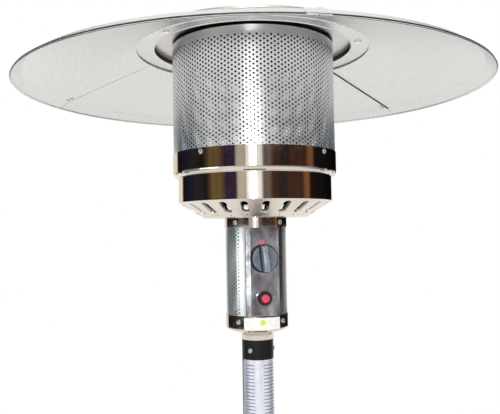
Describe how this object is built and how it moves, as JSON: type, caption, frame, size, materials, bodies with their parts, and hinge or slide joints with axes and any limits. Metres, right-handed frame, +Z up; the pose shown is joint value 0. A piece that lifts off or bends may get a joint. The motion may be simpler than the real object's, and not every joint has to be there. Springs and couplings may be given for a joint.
{
  "type": "gas mushroom patio heater",
  "caption": "Free-standing patio heater: round base with bottle cover, post, control housing, burner under a perforated emitter, and a dished reflector.",
  "frame": {"origin": "on the floor, under the middle of the post", "axes": "+Z up along the post, control panel and knob towards -Y, wheels towards +Y"},
  "size_m": [0.814, 0.814, 2.1957],
  "materials": {
    "satin_steel": "brushed stainless steel",
    "bright_steel": "polished stainless steel",
    "reflector_aluminium": "satin aluminium sheet",
    "emitter_steel": "perforated stainless sheet, satin",
    "black_enamel": "satin black powder coat",
    "grey_enamel": "grey powder coat",
    "zinc_steel": "zinc plated",
    "cast_ballast": "rough cast",
    "foot_rubber": "matt rubber",
    "tyre_rubber": "soft tyre",
    "black_plastic": "moulded, fine grain",
    "knob_plastic": "moulded, semi gloss",
    "button_plastic": "moulded, gloss red",
    "white_plastic": "moulded",
    "ceramic": "glazed white",
    "brass": "turned",
    "copper": "drawn copper",
    "lead_silicone": "silicone sleeve",
    "valve_metal": "die cast"
  },
  "bodies": {
    "frame": {"base_plate": "grey_enamel", "base_dish": "black_enamel", "ballast_ring": "cast_ballast", "base_feet": "foot_rubber", "support_leg_rear": "grey_enamel", "support_leg_left": "grey_enamel", "support_leg_right": "grey_enamel", "frame_bolts": "zinc_steel", "post_foot": "grey_enamel", "wheel_bracket": "grey_enamel", "wheel_axle": "zinc_steel", "axle_caps": "black_plastic", "post": "black_enamel", "gas_line": "copper", "gas_inlet": "brass", "head_sleeve": "zinc_steel", "bottom_cap": "bright_steel", "control_shell": "satin_steel", "control_ring": "bright_steel", "control_panel": "bright_steel", "head_screws": "zinc_steel", "gas_valve": "valve_metal", "igniter_bezel": "black_plastic", "igniter_ring": "bright_steel", "piezo_unit": "white_plastic", "igniter_lead": "lead_silicone", "tilt_switch": "white_plastic", "thermocouple": "copper", "pilot_tube": "valve_metal", "pilot_bracket": "zinc_steel", "pilot_burner": "brass", "spark_electrode": "ceramic", "gas_jet": "brass", "mixer_tube": "zinc_steel", "burner_bowl": "bright_steel", "burner_band": "bright_steel", "burner_deck": "zinc_steel", "burner_drum": "satin_steel", "emitter_screen": "emitter_steel", "emitter_lid": "emitter_steel", "reflector_right": "reflector_aluminium", "reflector_rear": "reflector_aluminium", "reflector_left": "reflector_aluminium", "reflector_ring": "reflector_aluminium", "heat_plate": "satin_steel", "reflector_spacers": "zinc_steel", "reflector_bolts": "zinc_steel", "seam_rivets": "zinc_steel"},
    "bottle_cover": {"shroud_wall": "black_enamel", "shroud_cone": "black_enamel", "shroud_collar": "black_plastic", "shroud_screws": "zinc_steel"},
    "left_wheel": {"left_wheel": "black_plastic", "left_tyre": "tyre_rubber"},
    "right_wheel": {"right_wheel": "black_plastic", "right_tyre": "tyre_rubber"},
    "valve_plunger": {"valve_plunger": "brass"},
    "knob": {"valve_spindle": "zinc_steel", "control_knob": "knob_plastic"},
    "igniter_button": {"igniter_button": "button_plastic"}
  },
  "joints": [
    {"name": "cover_lift", "type": "slide", "parent": "frame", "child": "bottle_cover", "axis": [0, 0, 1], "range_m": [0, 0.45]},
    {"name": "left_wheel_spin", "type": "hinge", "parent": "frame", "child": "left_wheel", "pos_m": [-0.108, 0.268, 0.066], "axis": [1, 0, 0], "continuous": true},
    {"name": "right_wheel_spin", "type": "hinge", "parent": "frame", "child": "right_wheel", "pos_m": [0.108, 0.268, 0.066], "axis": [1, 0, 0], "continuous": true},
    {"name": "knob_push", "type": "slide", "parent": "frame", "child": "valve_plunger", "axis": [0, 1, 0], "range_m": [0, 0.003], "stiffness_N_per_m": 900},
    {"name": "knob_turn", "type": "hinge", "parent": "valve_plunger", "child": "knob", "pos_m": [0, -0.06, 1.811], "axis": [0, -1, 0], "range_deg": [0, 270]},
    {"name": "igniter_push", "type": "slide", "parent": "frame", "child": "igniter_button", "axis": [0, 1, 0], "range_m": [0, 0.0045], "stiffness_N_per_m": 600}
  ]
}
